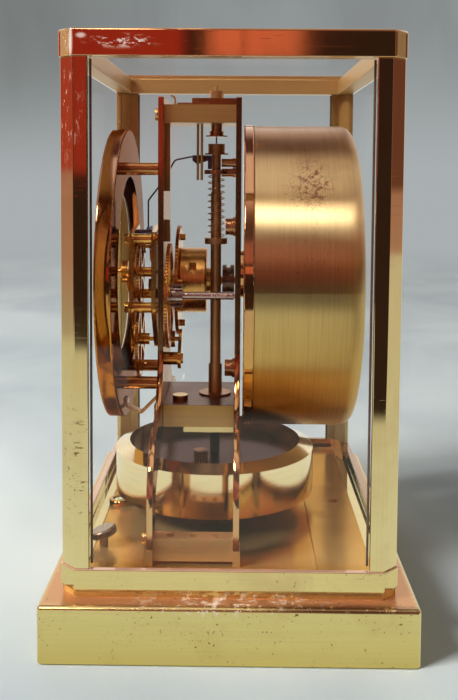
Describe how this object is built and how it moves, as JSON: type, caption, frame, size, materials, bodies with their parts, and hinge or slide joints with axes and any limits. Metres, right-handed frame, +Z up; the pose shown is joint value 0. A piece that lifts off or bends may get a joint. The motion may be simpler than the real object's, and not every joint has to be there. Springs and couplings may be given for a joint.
{
  "type": "atmospheric clock",
  "caption": "Glazed brass clock with an open dial, a torsion pendulum on a ribbon, a going train and a bellows drum behind.",
  "frame": {"origin": "centre of the base's footprint, on the table under the feet", "axes": "+Z up, the dial faces -Y, +X to the right as seen from the dial"},
  "size_m": [0.1902, 0.1426, 0.235],
  "materials": {
    "base_brass": "polished, worn on the upper face",
    "rail_brass": "polished",
    "cap_brass": "polished, scuffed at the corners",
    "pillar_brass": "polished",
    "glass": "clear polished panes",
    "foot_brass": "satin",
    "floor_brass": "brushed",
    "level_brass": "polished bezel",
    "knob_metal": "dull plated",
    "lift_brass": "satin",
    "plate_brass": "brushed",
    "block_brass": "brushed",
    "top_plate_brass": "brushed",
    "foot_block_brass": "brushed",
    "lock_brass": "polished",
    "screw_brass": "turned",
    "post_brass": "turned",
    "bezel_brass": "polished",
    "dial_white": "satin enamel",
    "marker_gilt": "polished",
    "hand_gilt": "polished",
    "wheel_brass": "satin",
    "bridge_brass": "satin",
    "bridge_post_brass": "turned",
    "barrel_brass": "turned satin",
    "pinion_steel": "cut steel",
    "blued_steel": "blued",
    "dark_steel": "dark oxide",
    "head_brass": "turned",
    "tube_copper": "lacquered, tarnished",
    "spring_steel": "bright wire",
    "bracket_bronze": "tarnished",
    "ribbon_metal": "rolled ribbon",
    "pendulum_brass": "turned satin",
    "pendulum_dark": "dark glossy",
    "balance_copper": "turned",
    "drum_bronze": "brushed round the drum, lacquered, spotted",
    "drum_rim_bronze": "polished rim",
    "bellows_brass": "drawn"
  },
  "bodies": {
    "case": {"base_plinth": "base_brass", "bellows_capsule": "bellows_brass", "bottom_block": "block_brass", "bottom_rail": "rail_brass", "bridge_front": "bridge_brass", "bridge_pillars": "bridge_post_brass", "bridge_rear": "bridge_brass", "cap_frame": "cap_brass", "dial_plate": "dial_white", "dial_ring": "bezel_brass", "dial_supports": "post_brass", "drum_cover": "drum_rim_bronze", "drum_shell": "drum_bronze", "floor_plate": "floor_brass", "foot_blocks": "foot_block_brass", "front_plate": "plate_brass", "guard_strips": "plate_brass", "hour_markers": "marker_gilt", "lock_plate": "lock_brass", "pillar_front_left": "pillar_brass", "pillar_front_right": "pillar_brass", "pillar_rear_left": "pillar_brass", "pillar_rear_right": "pillar_brass", "plate_screws": "screw_brass", "rear_glass": "glass", "rear_plate": "plate_brass", "side_glass_left": "glass", "side_glass_right": "glass", "spirit_level": "level_brass", "suspension_head": "head_brass", "suspension_tube": "tube_copper", "top_block": "block_brass", "top_glass": "glass", "top_plate": "top_plate_brass", "train_cock": "bridge_brass", "tube_brackets": "bracket_bronze", "tube_spring": "spring_steel"},
    "front_door": {"front_glass": "glass"},
    "pendulum": {"pendulum_rim": "pendulum_brass", "pendulum_disc": "pendulum_dark", "pendulum_knob": "balance_copper", "suspension_wire": "ribbon_metal"},
    "minute_train": {"centre_arbor": "wheel_brass", "minute_hand": "hand_gilt"},
    "hour_train": {"hour_hand": "hand_gilt", "hour_wheel": "wheel_brass"},
    "minute_reduction": {"minute_wheel": "wheel_brass"},
    "third_train": {"third_wheel": "wheel_brass"},
    "second_train": {"second_wheel": "wheel_brass", "second_pinion": "pinion_steel"},
    "barrel_train": {"barrel": "barrel_brass", "great_wheel": "wheel_brass"},
    "escape_train": {"escape_wheel": "wheel_brass"},
    "pallets": {"pallet_lever": "blued_steel"},
    "bellows": {"bellows_head": "bellows_brass"},
    "winding": {"winding_pulley": "dark_steel"},
    "lock": {"lock_knob": "knob_metal"},
    "lift": {"lift_plate": "lift_brass"},
    "front_foot_left": {"foot_left": "foot_brass"},
    "front_foot_right": {"foot_right": "foot_brass"}
  },
  "joints": [
    {"name": "door_slide", "type": "slide", "parent": "case", "child": "front_door", "axis": [0, -1, 0], "range_m": [0, 0.03]},
    {"name": "pendulum_turn", "type": "hinge", "parent": "case", "child": "pendulum", "pos_m": [0, -0.0078, 0.1], "axis": [0, 0, 1], "range_deg": [-270, 270], "stiffness_Nm_per_rad": 0.00001},
    {"name": "barrel_spin", "type": "hinge", "parent": "case", "child": "barrel_train", "pos_m": [-0.01469, -0.026, 0.13109], "axis": [0, 1, 0], "continuous": true},
    {"name": "second_spin", "type": "hinge", "parent": "case", "child": "second_train", "pos_m": [0.01551, -0.028, 0.12764], "axis": [0, 1, 0], "continuous": true},
    {"name": "third_spin", "type": "hinge", "parent": "case", "child": "third_train", "pos_m": [0.00108, -0.042, 0.10542], "axis": [0, 1, 0], "continuous": true},
    {"name": "minute_spin", "type": "hinge", "parent": "case", "child": "minute_train", "pos_m": [0, -0.042, 0.1364], "axis": [0, 1, 0], "continuous": true},
    {"name": "escape_spin", "type": "hinge", "parent": "case", "child": "escape_train", "pos_m": [-0.01302, -0.039, 0.14733], "axis": [0, 1, 0], "continuous": true},
    {"name": "minute_reduction_spin", "type": "hinge", "parent": "case", "child": "minute_reduction", "pos_m": [0.00561, -0.047, 0.13316], "axis": [0, 1, 0], "continuous": true},
    {"name": "hour_spin", "type": "hinge", "parent": "case", "child": "hour_train", "pos_m": [0, -0.049, 0.1364], "axis": [0, 1, 0], "continuous": true},
    {"name": "pallet_rock", "type": "hinge", "parent": "case", "child": "pallets", "pos_m": [-0.0056, -0.039, 0.15475], "axis": [0, 1, 0], "range_deg": [-2.5, 2.5]},
    {"name": "bellows_slide", "type": "slide", "parent": "case", "child": "bellows", "axis": [0, -1, 0], "range_m": [-0.003, 0.003]},
    {"name": "winding_turn", "type": "hinge", "parent": "case", "child": "winding", "pos_m": [-0.01469, -0.002, 0.13109], "axis": [0, 1, 0], "range_deg": [-24, 24]},
    {"name": "lock_turn", "type": "hinge", "parent": "case", "child": "lock", "pos_m": [0.052, -0.0523, 0.03], "axis": [0, 0, 1], "range_deg": [0, 180]},
    {"name": "lift_slide", "type": "slide", "parent": "case", "child": "lift", "axis": [0, 0, 1], "range_m": [0, 0.004]},
    {"name": "foot_left_screw", "type": "slide", "parent": "case", "child": "front_foot_left", "axis": [0, 0, -1], "range_m": [0, 0.003]},
    {"name": "foot_right_screw", "type": "slide", "parent": "case", "child": "front_foot_right", "axis": [0, 0, -1], "range_m": [0, 0.003]}
  ],
  "couplings": [
    {"joint": "second_spin", "follows": "barrel_spin", "ratio": -5.3333},
    {"joint": "third_spin", "follows": "barrel_spin", "ratio": 35.048},
    {"joint": "minute_spin", "follows": "barrel_spin", "ratio": -42.558},
    {"joint": "escape_spin", "follows": "barrel_spin", "ratio": 198.6},
    {"joint": "minute_reduction_spin", "follows": "barrel_spin", "ratio": 14.186},
    {"joint": "hour_spin", "follows": "barrel_spin", "ratio": -3.5465},
    {"joint": "winding_turn", "follows": "bellows_slide", "rad_per_m": 133.33},
    {"joint": "lock_turn", "follows": "lift_slide", "rad_per_m": 785.4}
  ]
}
